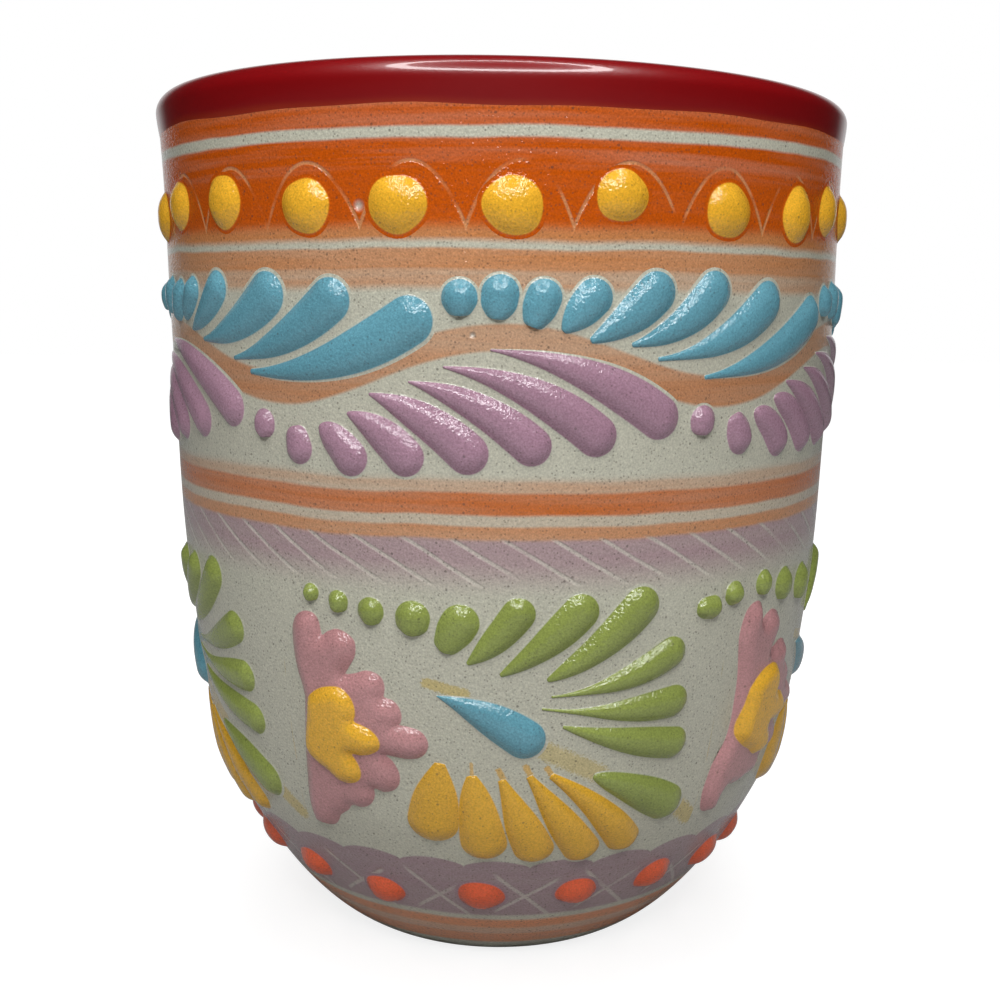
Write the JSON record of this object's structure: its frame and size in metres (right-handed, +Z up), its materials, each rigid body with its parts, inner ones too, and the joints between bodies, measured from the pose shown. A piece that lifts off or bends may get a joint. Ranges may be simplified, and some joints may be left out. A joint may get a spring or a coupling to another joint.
{
  "type": "ceramic tumbler",
  "caption": "Handle-less glazed ceramic tumbler with a narrow foot, rounded belly, tall open wall, red-coated lip and raised slip ornament, for drinking from.",
  "frame": {"origin": "centre of the foot on the surface that the tumbler stands on", "axes": "+Z up along the axis of the cup, -Y towards the front of the ornament, +X to the right of that front"},
  "size_m": [0.0853, 0.0854, 0.1008],
  "materials": {
    "glazed_clay": "satin clear glaze over pale speckled clay, with painted bands",
    "red_coat": "thick glossy crimson glaze",
    "yellow_slip": "raised slip under satin glaze",
    "blue_slip": "raised slip under satin glaze",
    "lilac_slip": "raised slip under satin glaze",
    "green_slip": "raised slip under satin glaze",
    "pink_slip": "raised slip under satin glaze",
    "coral_slip": "raised slip under satin glaze"
  },
  "bodies": {
    "root": {"cup_body": "glazed_clay", "rim_coat": "red_coat", "collar_beads": "yellow_slip", "garland_blue_beads": "blue_slip", "garland_blue_leaves": "blue_slip", "garland_lilac_beads": "lilac_slip", "garland_lilac_leaves": "lilac_slip", "spray_green_beads": "green_slip", "spray_green_leaves": "green_slip", "spray_blue_drops": "blue_slip", "spray_yellow_petals": "yellow_slip", "flower_petals": "pink_slip", "flower_centres": "yellow_slip", "foot_beads": "coral_slip"}
  },
  "joints": []
}
